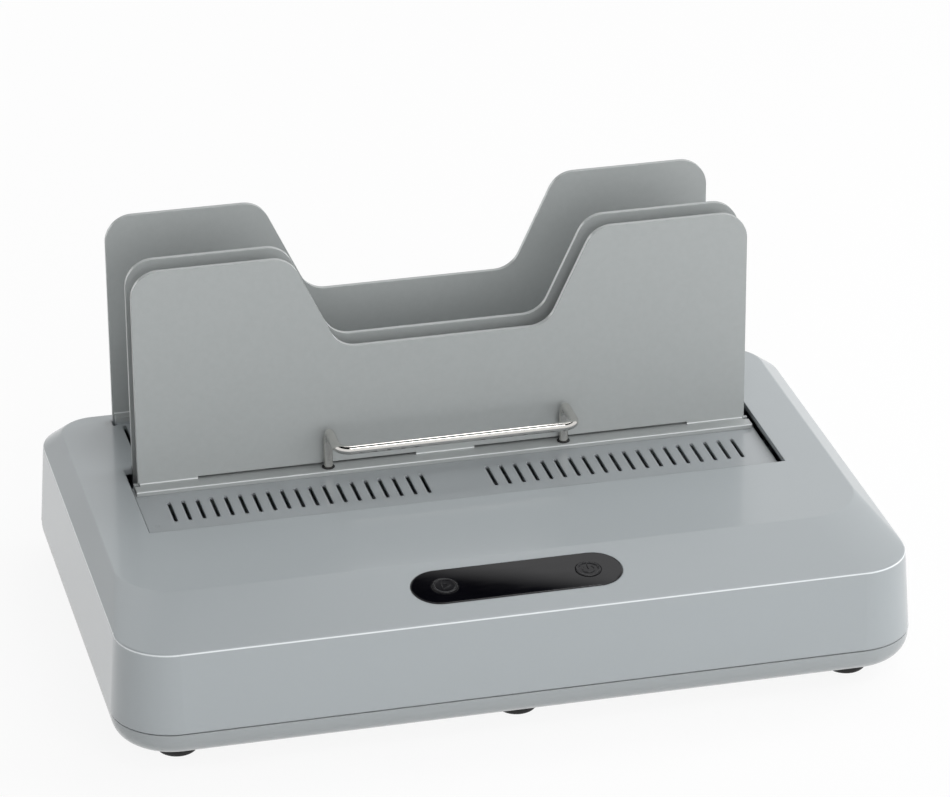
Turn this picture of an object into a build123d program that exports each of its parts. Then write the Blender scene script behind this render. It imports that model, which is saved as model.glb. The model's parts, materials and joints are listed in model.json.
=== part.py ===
"""Desktop thermal binding machine: a low two-part housing, three upright sheet-metal plates and a
hand-drawn clamp carriage that slides over a heated channel.

Frame: millimetres, +Z up, +Y to the rear, origin on the table at the middle of the footprint.
Every part function returns its solids, and each node is written to its own file at the end.
"""

import math
import os

from build123d import *

# ------------------------------------------------------------------ driving dimensions: housing
base_width = 391.0  # across the side walls at the seam
base_depth = 264.0  # front to rear at the seam
foot_height = 9.0  # table to underside of the tray
seam_z = 22.5  # where the cover meets the tray
seam_gap = 0.6  # visible shadow line
crease_z = 63.0  # top of the upright walls
crease_round = 1.2  # small rounding along the crease
top_edge_round = 1.5  # and along the edge of the flat top
top_z = 70.0  # flat top of the cover
wall_lean = 2.7  # how far the walls lean in between the seam and the crease
side_bevel = 9.5  # plan width of the sloping band at the sides
rear_bevel = 8.5  # the same at the rear
front_slope = 49.3  # plan length of the sloping front
crease_corner_front = 27.0  # plan radii of the crease line
crease_corner_rear = 26.0
top_corner_front = 30.0  # plan radii of the flat top
top_corner_rear = 18.0
cover_wall = 2.8
tray_wall = 2.5
tray_round = 11.0  # rounded underside of the tray
cavity_drop = 1.0  # the cavity's crease lies this much below the outer one
tray_step = 0.2  # the tray's walls stand this far behind the cover's
lip_height = 3.0  # tongue of the tray inside the cover, above and below the seam
lip_wall = 1.6

# ------------------------------------------------------------------ driving dimensions: clearances
slide_clearance = 0.3  # between a moving piece and what guides it
seat_clearance = 0.1  # around a piece that is held still
overcut = 1.0  # how far a cutting form runs past the face it opens
blind_skin = 0.6  # material left over the end of a blind screw hole

# ------------------------------------------------------------------ driving dimensions: plates
plate_width = 311.0
plate_top_z = 181.4
sheet = 2.5  # thickness of the upright plates
plate_corner = 14.0
notch_top_width = 153.4  # thumb notch, at the top edge
notch_bottom_width = 105.6
notch_depth = 50.2
notch_round = 14.0
ledge_reach = 8.0  # front plate's foot, ahead of its face
ledge_overhang = 2.1  # the foot is wider than the plate by this, each side
tab_width = 30.0  # the plate joins its foot at three tabs
window_height = 1.3  # slots between the tabs
relief = 1.6  # small corner reliefs at the ends of the fold
fold_inside = 0.9  # inner radius of the folds
fold_outside = 2.2
front_plate_y = 40.2  # front face of the clamp plate at rest
closed_gap = 0.6  # between the clamp plate and the fixed plate when it is shut
rack_gap = 54.8  # between the fixed plate and the rear plate
rear_foot_reach = 5.0
rear_seat_rise = 1.35  # raised strip of the cover under the rear plate's foot
rear_slot_width = 1.5  # small slot in the cover at each end of that foot
rear_slot_length = 5.6
inner_foot_reach = 14.0  # fixed plate's foot on the chassis, behind its rear face
inner_screw_reach = 8.0
inner_screw_xs = (-140.0, -50.0, 50.0, 140.0)
rear_screw_reach = 1.0  # rear plate's screws, ahead of its front face
rear_screw_xs = (-135.0, -45.0, 45.0, 135.0)
ledge_screw_reach = 5.0  # carriage screws, behind the ledge's front
ledge_screw_xs = (-142.0, -95.0, -30.0, 30.0, 95.0, 142.0)
ledge_lip_round = 0.8

# ------------------------------------------------------------------ driving dimensions: carriage
panel_recess = 4.2  # top of the louvred panel below the flat top
panel_sheet = 1.5
panel_overlap = 5.6  # how far the panel reaches under the cover
panel_side_reach = 1.0  # the panel is wider than the ledge by this, each side
open_travel = 44.0  # forwards from rest
close_travel = 12.4  # backwards from rest
opening_stop_gap = 4.6  # from the ledge at full reach to the opening's front edge
opening_side_gap = 1.4  # beside the panel, each side
slot_width = 1.9
slot_length = 22.0
slot_front_y = 1.2
slot_pitch = 7.04
slot_inner_x = 16.9  # innermost slot of each group
slots_per_group = 19
rack_slot_front_y = 66.0
rack_slot_rear_y = 106.5
rack_slot_inner_x = 17.2
rack_slots_per_group = 20

# ------------------------------------------------------------------ driving dimensions: handle
rod = 4.6
handle_width = 120.6  # between the rod centres
handle_rise = 20.8  # rod centre above the ledge
handle_reach = 26.4
handle_post_inset = 5.0  # post centre behind the front lip of the ledge
handle_bend = 6.5
bush_diameter = 6.4
bush_height = 0.5
bush_round = 0.2
nut_across = 7.5
nut_height = 3.0
rod_end = 1.0  # rod below its nut

# ------------------------------------------------------------------ driving dimensions: controls
fascia_length = 103.0
fascia_width = 27.6
fascia_thickness = 1.9
fascia_proud = 0.3
fascia_x = 1.3  # the fascia's middle, off the housing's
fascia_y = -100.8
fascia_rim = 6.0  # the cover's seat around the opening below the fascia
fascia_corner = 0.5
button_spacing = 70.0
button_diameter = 12.0
button_proud = 0.7
button_flange = 1.2
button_flange_height = 1.4
button_travel = 0.8
button_stem = 4.0
button_dish = 0.35
button_rim = 1.1
button_edge = 0.4
switch_size = 6.0
switch_height = 3.5
switch_rest_gap = 0.2  # stem above the switch when it is fully pressed
switch_drop = 2.0  # stem's end below the button's flange
plunger_height = 0.9
plunger_diameter = 3.4
board = 1.6
control_board_length = 112.0
control_board_width = 42.0
pillar_diameter = 6.0
pillar_inset = 4.0  # board pillars, inside the board's edges
pillar_bore = 4.5
board_screw_grip = 4.0
lamp_diameter = 3.0
lamp_height = 3.2
beeper_diameter = 12.0
beeper_height = 6.5
beeper_offset = 4.0  # up the slope from the board's middle
beeper_hole = 2.0

# ------------------------------------------------------------------ driving dimensions: inside
chassis_z = 44.0  # top of the steel chassis
chassis_sheet = 1.5
chassis_width = 338.0
chassis_front_y = -84.0
chassis_rear_y = 98.0
chassis_hem = 6.0
chassis_window_width = 120.0  # cable window ahead of the heater
chassis_window_front_y = -54.0
chassis_window_rear_y = -16.0
rail_channel = 7.0  # inside width of a guide rail
rail_wall = 1.5
rail_height = 16.0
rail_foot = 8.5
rail_end_gap = 24.0  # rail ahead of the front shoes at full reach
rail_offset = 3.6  # rail centre inside the ledge's end
rail_screw_inset = 15.0
rail_screw_middle_y = -10.0
shoe_length = 20.0
shoe_front_y = -12.0
shoe_rear_y = 20.0
shoe_bolt_depth = 8.0  # head of a shoe's screw above the shoe's underside
shoe_screw_bite = 1.1
heater_plate_thickness = 3.0
heater_top_z = 58.0
heater_length = 292.0
heater_front_y = -4.0
heater_rear_gap = 1.0  # to the fixed plate
heater_round = 0.8
film_inset = 2.0
heater_film = 0.8
insulator = 3.0
shield_sheet = 1.0
thermostat_diameter = 13.0
thermostat_height = 8.0
thermostat_x = -60.0
blade_size = (0.8, 4.0, 2.0)
blade_spacing = 6.0
fuse_diameter = 4.0
fuse_length = 12.0
fuse_x = 60.0
fuse_clip_size = (4.0, 6.0, 0.8)
sensor_hole = 15.0  # through the film, the insulator and the shield

foot_diameter = 20.0
foot_spigot = 6.0
foot_side_inset = 30.7  # foot centres inside the walls at the seam
foot_end_inset = 27.8
foot_round = 2.5

screw = 3.0
screw_head = 5.6
screw_head_height = 1.8
screw_head_round = 0.7
drive_diameter = 1.6
drive_depth = 0.8
post_diameter = 8.5
post_side_inset = 17.0
post_ys = (-88.0, 8.0, 108.0)
post_split_z = 26.0
post_bore = 14.0
post_grip = 12.0  # screw inside the post
boss_margin = 2.0  # the tray's bosses are wider than the posts by this
bolt_well_margin = 1.0
tray_bolt_z = 14.0  # underside of the housing screws' heads
tray_pillar_diameter = 9.0
tray_pillar_bore = 10.0
tray_pillar_grip = 8.0
nut_side_length = 2.0  # screw tip below the chassis sheet
pillar_xs = (-130.0, 0.0, 130.0)
pillar_ys = (-72.0, 86.0)

inlet_side_inset = 75.0
inlet_z = 40.0
inlet_flange_width = 48.0
inlet_flange_height = 24.0
inlet_flange = 1.8
inlet_body_width = 27.6
inlet_body_height = 20.6
inlet_body_depth = 22.0
inlet_socket_width = 24.0
inlet_socket_height = 16.4
inlet_socket_depth = 15.0
inlet_screw_spacing = 38.0
inlet_pad = 4.0  # thickening of the cover behind the inlet's flange
inlet_seat_margin = 3.0
inlet_corner = 3.0
inlet_socket_chamfer = 4.5
inlet_screw_grip = 5.0
inlet_head_proud = 0.4
pin_width = 4.0
pin_thickness = 2.0
pin_spacing = 7.0
pin_rise = 4.0
pin_drop = 1.0  # outer pins below the inlet's middle
pin_setback = 4.0
pin_tail = 6.0

power_board_width = 100.0
power_board_depth = 62.0
power_board_x = -66.0
power_board_y = 62.0
standoff_height = 6.0
standoff_diameter = 6.5
standoff_inset = 5.0
board_screw_end = 1.5  # screw tip above the tray's floor
transformer_size = (34.0, 28.0, 17.0)
transformer_place = (-22.0, 2.0)  # from the power board's middle
relay_size = (19.0, 15.0, 15.0)
relay_place = (22.0, 12.0)
capacitor_diameter = 13.0
capacitor_height = 16.0
capacitor_place = (30.0, -14.0)
component_round = 1.0

# ------------------------------------------------------------------ worked-out places
seam_half_x = base_width / 2
seam_half_y = base_depth / 2
crease_half_x = seam_half_x - wall_lean
crease_half_y = seam_half_y - wall_lean
top_half_x = crease_half_x - side_bevel
top_front_y = -crease_half_y + front_slope
top_rear_y = crease_half_y - rear_bevel
slope_angle = math.degrees(math.atan2(top_z - crease_z, front_slope))

clamp_gap = closed_gap + close_travel
opening_front_y = front_plate_y - ledge_reach - open_travel - opening_stop_gap
panel_top = top_z - panel_recess
panel_bottom = panel_top - panel_sheet
ledge_top = panel_top + sheet
ledge_front_y = front_plate_y - ledge_reach
carriage_rear_y = front_plate_y + sheet
ledge_half_x = plate_width / 2 + ledge_overhang
panel_half_x = ledge_half_x + panel_side_reach
panel_front_y = opening_front_y - panel_overlap
opening_half_x = panel_half_x + opening_side_gap
fixed_plate_y = carriage_rear_y + clamp_gap
fixed_plate_rear_y = fixed_plate_y + sheet
opening_rear_y = fixed_plate_y - slide_clearance
rear_plate_y = fixed_plate_rear_y + rack_gap
rear_foot_z = top_z + rear_seat_rise
rear_screw_y = rear_plate_y - rear_screw_reach
inner_screw_y = fixed_plate_rear_y + inner_screw_reach
ledge_screw_y = ledge_front_y + ledge_screw_reach

handle_y = ledge_front_y + handle_post_inset
handle_z = ledge_top + handle_rise
nut_bottom = panel_bottom - nut_height
handle_xs = (-handle_width / 2, handle_width / 2)

rail_x = ledge_half_x - rail_offset
rail_front_y = shoe_front_y - open_travel - rail_end_gap
rail_rear_y = fixed_plate_y - slide_clearance
shoe_width = rail_channel - 2 * slide_clearance
shoe_bottom = chassis_z + rail_wall + slide_clearance
shoe_bolt_z = shoe_bottom + shoe_bolt_depth

heater_rear_y = fixed_plate_y - heater_rear_gap
heater_middle_y = (heater_front_y + heater_rear_y) / 2
heater_bottom = heater_top_z - heater_plate_thickness
film_bottom = heater_bottom - heater_film
insulator_bottom = film_bottom - insulator
tray_floor = foot_height + tray_wall
chassis_under = chassis_z - chassis_sheet
power_board_z = tray_floor + standoff_height + board  # its upper face
post_xs = (post_side_inset - seam_half_x, seam_half_x - post_side_inset)
foot_x = seam_half_x - foot_side_inset
foot_y = seam_half_y - foot_end_inset
inlet_x = seam_half_x - inlet_side_inset
inlet_face_y = seam_half_y - wall_lean * (inlet_z - seam_z) / (crease_z - seam_z)
inlet_screw_xs = (inlet_x - inlet_screw_spacing / 2, inlet_x + inlet_screw_spacing / 2)

slope_middle = (fascia_x, fascia_y, top_z - (top_front_y - fascia_y) * math.tan(math.radians(slope_angle)))
slope = Plane(
    origin=slope_middle,
    x_dir=(1, 0, 0),
    z_dir=(0, -math.sin(math.radians(slope_angle)), math.cos(math.radians(slope_angle))),
)
fascia_under = fascia_proud - fascia_thickness
button_flange_top = fascia_under - slide_clearance
button_flange_bottom = button_flange_top - button_flange_height
switch_gap = button_travel + switch_rest_gap
switch_top = button_flange_bottom - switch_drop - switch_gap
stem_bottom = switch_top + switch_gap
board_top = switch_top - switch_height
board_bottom = board_top - board
button_xs = (-button_spacing / 2, button_spacing / 2)


# ------------------------------------------------------------------ shape helpers
near = 0.01  # distance within which an edge counts as being at a place


def block(x0, x1, y0, y1, z0, z1):
    """A box between two corners."""
    centre = Pos((x0 + x1) / 2, (y0 + y1) / 2, (z0 + z1) / 2)
    return centre * Box(x1 - x0, y1 - y0, z1 - z0)


def rod_z(x, y, z0, z1, diameter):
    """An upright round bar from z0 to z1."""
    return Pos(x, y, (z0 + z1) / 2) * Cylinder(diameter / 2, z1 - z0)


def on_slope(x, y, w0, w1, diameter):
    """A round bar square to the sloping front, from w0 to w1 above its surface."""
    return slope * Pos(x, y, (w0 + w1) / 2) * Cylinder(diameter / 2, w1 - w0)


def mirrored(solid):
    """The same solid on the other side of the middle."""
    return mirror(solid, about=Plane.YZ)


def group(solids):
    """Separate solids kept together in one node."""
    return Compound(children=list(solids))


def machine_screw(x, y, head_z, tip_z):
    """A pan-head screw whose head lies on head_z; the shank runs to tip_z, up or down."""
    up = 1 if tip_z > head_z else -1
    far = head_z - up * screw_head_height
    drive = far + up * drive_depth
    head = rod_z(x, y, min(head_z, far), max(head_z, far), screw_head)
    rim = head.edges().filter_by(GeomType.CIRCLE).sort_by(Axis.Z)[0 if up > 0 else -1]
    shank = rod_z(x, y, min(head_z, tip_z), max(head_z, tip_z), screw)
    recess = rod_z(x, y, min(far, drive), max(far, drive), drive_diameter)
    return fillet(rim, screw_head_round) + shank - recess


def screw_hole(x, y, z0, z1):
    """The cutting form of a hole that a machine screw passes through."""
    return rod_z(x, y, z0, z1, screw + 2 * seat_clearance)


def plan_outline(z, half_x, y_front, y_rear, r_front, r_rear):
    """A rounded rectangle at height z with its own front and rear corner radii."""
    face = Pos(0, (y_front + y_rear) / 2, z) * Rectangle(2 * half_x, y_rear - y_front)
    face = fillet(face.vertices().group_by(Axis.Y)[0], r_front)
    return fillet(face.vertices().group_by(Axis.Y)[-1], r_rear)


def housing_form(inset, z_bottom, z_crease, z_top):
    """The closed outer form of the cover, or its cavity when it is inset."""
    seam = wall_outline(z_bottom, inset, inset)
    crease = plan_outline(
        z_crease,
        crease_half_x - inset,
        inset - crease_half_y,
        crease_half_y - inset,
        crease_corner_front - inset,
        crease_corner_rear - inset,
    )
    top = plan_outline(
        z_top, top_half_x - inset / 2, top_front_y, top_rear_y - inset / 2, top_corner_front, top_corner_rear
    )
    return loft([seam, crease], ruled=True) + loft([crease, top], ruled=True)


def is_level(edge, z):
    """Whether an edge lies level at height z."""
    box = edge.bounding_box()
    return abs(box.min.Z - z) < near and box.size.Z < near


def wall_outline(z, inset, corner_inset):
    """The housing's outline at the seam, drawn in by inset."""
    return plan_outline(
        z,
        seam_half_x - inset,
        inset - seam_half_y,
        seam_half_y - inset,
        crease_corner_front + wall_lean - corner_inset,
        crease_corner_rear + wall_lean - corner_inset,
    )


def rounded_at(solid, z, radius):
    """Round the edges that lie level at height z."""
    level = [e for e in solid.edges() if is_level(e, z)]
    return fillet(level, radius)


def slot_row(y_front, y_rear, inner_x, count, z0, z1):
    """Two mirrored groups of narrow round-ended slots."""
    slot = Pos(0, (y_front + y_rear) / 2, z0) * SlotOverall(y_rear - y_front, slot_width, rotation=90)
    cutter = extrude(slot, z1 - z0)
    places = [side * (inner_x + i * slot_pitch) for side in (-1, 1) for i in range(count)]
    return [Pos(x, 0, 0) * cutter for x in places]


def upright_plate(y, z_bottom):
    """A plate with round upper corners and a thumb notch in its top edge."""
    half = plate_width / 2
    notch_z = plate_top_z - notch_depth
    face = Plane.XZ * Polyline(
        (-half, z_bottom),
        (-half, plate_top_z),
        (-notch_top_width / 2, plate_top_z),
        (-notch_bottom_width / 2, notch_z),
        (notch_bottom_width / 2, notch_z),
        (notch_top_width / 2, plate_top_z),
        (half, plate_top_z),
        (half, z_bottom),
        close=True,
    )
    face = make_face(face)
    outer = [v for v in face.vertices() if v.Z > plate_top_z - near and abs(v.X) > half - near]
    face = fillet(outer, plate_corner)
    inner = [v for v in face.vertices() if abs(v.X) < notch_top_width / 2 + near]
    face = fillet(inner, notch_round)
    return extrude(Pos(0, y, 0) * face, sheet, dir=(0, 1, 0))


def folded(plate, y, z, radius):
    """Round the fold edges that run along X at this place."""
    along = plate.edges().filter_by(Axis.X)
    fold = [e for e in along if abs(e.center().Y - y) < near and abs(e.center().Z - z) < near]
    return fillet(fold, radius)


def joined(solids):
    """One solid out of overlapping ones."""
    total = solids[0]
    for solid in solids[1:]:
        total = total + solid
    return total


# ------------------------------------------------------------------ housing
def top_cover():
    """The moulded upper shell with its openings, screw posts and board pillars."""
    outer = housing_form(0, seam_z, crease_z, top_z)
    cavity = housing_form(cover_wall, seam_z, crease_z - cavity_drop, top_z - cover_wall)
    outer = rounded_at(outer, crease_z, crease_round)
    outer = rounded_at(outer, top_z, top_edge_round)
    cover = outer - cavity

    posts = [rod_z(x, y, post_split_z, top_z, post_diameter) for x, y in post_places()]
    pillars = [on_slope(x, y, board_top, -cover_wall / 2, pillar_diameter) for x, y in board_pillar_places()]
    half_w = inlet_flange_width / 2 + inlet_seat_margin
    half_h = inlet_flange_height / 2 + inlet_seat_margin
    seat_y = seam_half_y - wall_lean - cover_wall - inlet_pad
    inlet_seat = inlet_block(half_w, half_h, seat_y, seam_half_y)
    cover += joined([(solid & outer) for solid in posts + pillars + [inlet_seat]])
    half = plate_width / 2
    foot_y0 = rear_plate_y - rear_foot_reach
    cover += block(-half, half, foot_y0, rear_plate_y + sheet, top_z - cover_wall / 2, rear_foot_z)

    for x, y in post_places():
        cover -= screw_hole(x, y, post_split_z, post_split_z + post_bore)
    for x, y in board_pillar_places():
        cover -= on_slope(x, y, board_top, board_top + pillar_bore, screw + 2 * seat_clearance)

    under = top_z - 2 * cover_wall
    over = rear_foot_z + overcut
    cover -= block(-opening_half_x, opening_half_x, opening_front_y, opening_rear_y, under, over)
    slit = half + slide_clearance
    cover -= block(-slit, slit, opening_rear_y - overcut, fixed_plate_rear_y + slide_clearance, under, over)
    rack_ends = (rack_slot_front_y, rack_slot_rear_y)
    for cutter in slot_row(*rack_ends, rack_slot_inner_x, rack_slots_per_group, under, over):
        cover -= cutter
    for x in rear_screw_xs:
        cover -= screw_hole(x, rear_screw_y, under, over)
    for x in (-half, half):
        y0 = rear_plate_y - rear_slot_length
        cover -= block(x - rear_slot_width / 2, x + rear_slot_width / 2, y0, rear_plate_y, under, over)

    seat = SlotOverall(fascia_length + 2 * seat_clearance, fascia_width + 2 * seat_clearance)
    cover -= slope * extrude(Pos(0, 0, fascia_under) * seat, fascia_thickness + overcut)
    hole = SlotOverall(fascia_length - 2 * fascia_rim, fascia_width - 2 * fascia_rim)
    cover -= slope * extrude(Pos(0, 0, -2 * cover_wall) * hole, 2 * cover_wall + overcut)

    half_w = inlet_flange_width / 2 + seat_clearance
    half_h = inlet_flange_height / 2 + seat_clearance
    flange_back_y = inlet_face_y - inlet_flange
    cover -= inlet_block(half_w, half_h, flange_back_y, seam_half_y + overcut)
    half_w = inlet_body_width / 2 + seat_clearance
    half_h = inlet_body_height / 2 + seat_clearance
    cover -= inlet_block(half_w, half_h, seat_y - overcut, seam_half_y)
    hole_end_y = flange_back_y - inlet_screw_grip - overcut
    for x in inlet_screw_xs:
        cover -= inlet_bar(x, hole_end_y, inlet_face_y, screw + 2 * seat_clearance)
    return cover


def post_places():
    """Where the housing's screws draw the cover onto the tray."""
    return [(x, y) for x in post_xs for y in post_ys]


def bottom_tray():
    """The lower shell: rounded underside, tongue inside the cover, bosses and pillars."""
    rim_z = seam_z - seam_gap
    tray = extrude(wall_outline(foot_height, tray_step, 0), rim_z - foot_height)
    tray = fillet(tray.faces().sort_by(Axis.Z)[0].edges(), tray_round)
    inner = extrude(wall_outline(tray_floor, tray_step + tray_wall, tray_wall), rim_z - tray_floor + overcut)
    tray -= fillet(inner.faces().sort_by(Axis.Z)[0].edges(), tray_round - tray_wall)

    gap = cover_wall + slide_clearance
    tongue_bottom = rim_z - lip_height
    tongue = extrude(wall_outline(tongue_bottom, tray_step + tray_wall / 2, tray_wall / 2), lip_height)
    tongue += extrude(wall_outline(rim_z, gap, gap), lip_height)
    tongue -= extrude(wall_outline(tongue_bottom, gap + lip_wall, gap + lip_wall), 2 * lip_height)
    tray += tongue

    root_z = tray_floor - tray_wall / 2
    standoff_top = tray_floor + standoff_height
    bosses = [rod_z(x, y, foot_height, post_split_z, post_diameter + boss_margin) for x, y in post_places()]
    pillars = [rod_z(x, y, root_z, chassis_under, tray_pillar_diameter) for x, y in pillar_places()]
    standoffs = [rod_z(x, y, root_z, standoff_top, standoff_diameter) for x, y in standoff_places()]
    tray += joined(bosses + pillars + standoffs)

    for x, y in post_places():
        tray -= screw_hole(x, y, tray_bolt_z, post_split_z)
        tray -= rod_z(x, y, foot_height - overcut, tray_bolt_z, screw_head + bolt_well_margin)
    for x, y in pillar_places():
        tray -= screw_hole(x, y, chassis_under - tray_pillar_bore, chassis_under)
    for x, y in standoff_places():
        tray -= screw_hole(x, y, tray_floor, standoff_top)
    for x, y in foot_places():
        tray -= rod_z(x, y, foot_height - overcut, tray_floor, foot_spigot + 2 * seat_clearance)
    return tray


def foot_places():
    """Three feet along the front and three along the rear."""
    return [(x, y) for x in (-foot_x, 0, foot_x) for y in (-foot_y, foot_y)]


def rubber_feet():
    """Six round feet with spigots pushed into the tray."""
    feet = []
    for x, y in foot_places():
        foot = rod_z(x, y, 0, foot_height, foot_diameter)
        foot = fillet(foot.edges().filter_by(GeomType.CIRCLE).sort_by(Axis.Z)[0], foot_round)
        feet.append(foot + rod_z(x, y, foot_height - overcut, tray_floor, foot_spigot))
    return group(feet)


def housing_screws():
    """Long screws that draw the cover's posts onto the tray's bosses."""
    return group(machine_screw(x, y, tray_bolt_z, post_split_z + post_grip) for x, y in post_places())


# ------------------------------------------------------------------ plates
def inner_plate():
    """The fixed plate behind the clamp gap, folded to the rear at its foot."""
    half = plate_width / 2
    foot_y1 = fixed_plate_rear_y + inner_foot_reach
    foot_top = chassis_z + sheet
    plate = upright_plate(fixed_plate_y, chassis_z)
    plate += block(-half, half, fixed_plate_y, foot_y1, chassis_z, foot_top)
    plate = folded(plate, fixed_plate_rear_y, foot_top, fold_inside)
    plate = folded(plate, fixed_plate_y, chassis_z, fold_outside)
    for x in inner_screw_xs:
        plate -= screw_hole(x, inner_screw_y, chassis_z - overcut, foot_top + overcut)
    return plate


def inner_plate_screws():
    """Screws through the fixed plate's foot and the chassis."""
    tip_z = chassis_under - nut_side_length
    return group(machine_screw(x, inner_screw_y, chassis_z + sheet, tip_z) for x in inner_screw_xs)


def rear_plate():
    """The rear plate of the cooling rack, folded forwards at its foot."""
    half = plate_width / 2
    foot_top = rear_foot_z + sheet
    rear_y = rear_plate_y + sheet
    plate = upright_plate(rear_plate_y, rear_foot_z)
    plate += block(-half, half, rear_plate_y - rear_foot_reach, rear_y, rear_foot_z, foot_top)
    plate = folded(plate, rear_plate_y, foot_top, fold_inside)
    plate = folded(plate, rear_y, rear_foot_z, fold_outside)
    for x in rear_screw_xs:
        plate -= screw_hole(x, rear_screw_y, rear_foot_z - overcut, foot_top - blind_skin)
    for x in (-half, half):
        plate -= block(
            x - rear_slot_width / 2,
            x + rear_slot_width / 2,
            rear_plate_y - rear_slot_length,
            rear_plate_y,
            rear_foot_z - overcut,
            foot_top + overcut,
        )
    return plate


def rear_plate_screws():
    """Screws up through the cover into the rear plate's foot."""
    head_z = top_z - cover_wall
    tip_z = rear_foot_z + sheet - blind_skin - seat_clearance
    return group(machine_screw(x, rear_screw_y, head_z, tip_z) for x in rear_screw_xs)


# ------------------------------------------------------------------ carriage
def front_plate():
    """The clamp plate and its folded foot, joined at three tabs."""
    half = plate_width / 2
    plate = upright_plate(front_plate_y, panel_top)
    plate += block(-ledge_half_x, ledge_half_x, ledge_front_y, carriage_rear_y, panel_top, ledge_top)
    plate = folded(plate, front_plate_y, ledge_top, fold_inside)
    plate = folded(plate, carriage_rear_y, panel_top, fold_outside)
    window_top = ledge_top + window_height
    for side in (-1, 1):
        edges = sorted((side * tab_width / 2, side * (half - tab_width)))
        plate -= block(*edges, front_plate_y - fold_inside, carriage_rear_y + overcut, ledge_top, window_top)
        end = side * (half + relief / 2)
        plate -= block(
            end - relief,
            end + relief,
            front_plate_y - relief,
            front_plate_y + relief / 2,
            panel_top - overcut,
            ledge_top + overcut,
        )
    for x in ledge_screw_xs:
        plate -= screw_hole(x, ledge_screw_y, panel_top - overcut, ledge_top - blind_skin)
    for x in handle_xs:
        plate -= rod_z(x, handle_y, panel_top - overcut, ledge_top + overcut, rod + 2 * seat_clearance)
    lips = [e for e in plate.edges().filter_by(Axis.X) if abs(e.center().Y - ledge_front_y) < near]
    return fillet([e for e in lips if abs(e.center().Z - ledge_top) < near], ledge_lip_round)


def vent_panel():
    """The louvred sheet under the ledge that slides below the cover's front edge."""
    under = panel_bottom - overcut
    over = panel_top + overcut
    panel = block(-panel_half_x, panel_half_x, panel_front_y, carriage_rear_y, panel_bottom, panel_top)
    slot_ends = (slot_front_y, slot_front_y + slot_length)
    for cutter in slot_row(*slot_ends, slot_inner_x, slots_per_group, under, over):
        panel -= cutter
    for x in ledge_screw_xs:
        panel -= screw_hole(x, ledge_screw_y, under, over)
    for x in handle_xs:
        panel -= rod_z(x, handle_y, under, over, rod + 2 * seat_clearance)
    for x, y in shoe_screw_places():
        panel -= screw_hole(x, y, under, panel_bottom + shoe_screw_bite + seat_clearance)
    return panel


def carriage_screws():
    """Screws up through the panel into the clamp plate's ledge."""
    tip_z = ledge_top - blind_skin - seat_clearance
    return group(machine_screw(x, ledge_screw_y, panel_bottom, tip_z) for x in ledge_screw_xs)


def wire_handle():
    """One bent chrome rod: two posts, two arms and the front bar."""
    x = handle_xs[1]
    y_bar = handle_y - handle_reach
    z_end = nut_bottom - rod_end
    path = FilletPolyline(
        (-x, handle_y, z_end),
        (-x, handle_y, handle_z),
        (-x, y_bar, handle_z),
        (x, y_bar, handle_z),
        (x, handle_y, handle_z),
        (x, handle_y, z_end),
        radius=handle_bend,
    )
    return sweep(Plane(origin=(-x, handle_y, z_end), z_dir=(0, 0, 1)) * Circle(rod / 2), path=path)


def handle_bushes():
    """Dark collars where the handle's posts enter the ledge."""
    collars = []
    top = ledge_top + bush_height
    for x in handle_xs:
        collar = rod_z(x, handle_y, ledge_top, top, bush_diameter)
        collar = fillet(collar.edges().filter_by(GeomType.CIRCLE).sort_by(Axis.Z)[-1], bush_round)
        bore = rod_z(x, handle_y, ledge_top - overcut, top + overcut, rod + 2 * seat_clearance)
        collars.append(collar - bore)
    return group(collars)


def handle_nuts():
    """Hexagon nuts on the handle's ends, under the panel."""
    nuts = []
    for x in handle_xs:
        hexagon = Pos(x, handle_y, nut_bottom) * RegularPolygon(nut_across / 2, 6, major_radius=False)
        bore = rod_z(x, handle_y, nut_bottom - overcut, panel_bottom + overcut, rod + 2 * seat_clearance)
        nuts.append(extrude(hexagon, nut_height) - bore)
    return group(nuts)


def shoe_places():
    """Middle in X and front end in Y of each slide shoe."""
    return [(x, y) for x in (-rail_x, rail_x) for y in (shoe_front_y, shoe_rear_y)]


def shoe_screw_places():
    return [(x, y + shoe_length / 2) for x, y in shoe_places()]


def slide_shoes():
    """Four plastic shoes under the panel that run in the guide rails."""
    shoes = []
    for x, y in shoe_places():
        shoe = block(x - shoe_width / 2, x + shoe_width / 2, y, y + shoe_length, shoe_bottom, panel_bottom)
        middle = y + shoe_length / 2
        shoe -= screw_hole(x, middle, shoe_bottom, panel_bottom)
        shoe -= rod_z(x, middle, shoe_bottom - overcut, shoe_bolt_z, screw_head + 2 * seat_clearance)
        shoes.append(shoe)
    return group(shoes)


def shoe_screws():
    """Screws up through the shoes into the panel."""
    tip_z = panel_bottom + shoe_screw_bite
    return group(machine_screw(x, y, shoe_bolt_z, tip_z) for x, y in shoe_screw_places())


# ------------------------------------------------------------------ chassis, rails and heater
def pillar_places():
    """Where the tray's pillars carry the chassis."""
    return [(x, y) for x in pillar_xs for y in pillar_ys]


def chassis():
    """The steel sheet that carries the rails, the heater and the fixed plate."""
    half = chassis_width / 2
    under = chassis_under - overcut
    over = chassis_z + overcut
    frame = block(-half, half, chassis_front_y, chassis_rear_y, chassis_under, chassis_z)
    for y0 in (chassis_front_y, chassis_rear_y - chassis_sheet):
        frame += block(-half, half, y0, y0 + chassis_sheet, chassis_under - chassis_hem, chassis_under)
    inner_places = [(x, inner_screw_y) for x in inner_screw_xs]
    for x, y in pillar_places() + inner_places + rail_screw_places():
        frame -= screw_hole(x, y, under, over)
    half = chassis_window_width / 2
    return frame - block(-half, half, chassis_window_front_y, chassis_window_rear_y, under, over)


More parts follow.
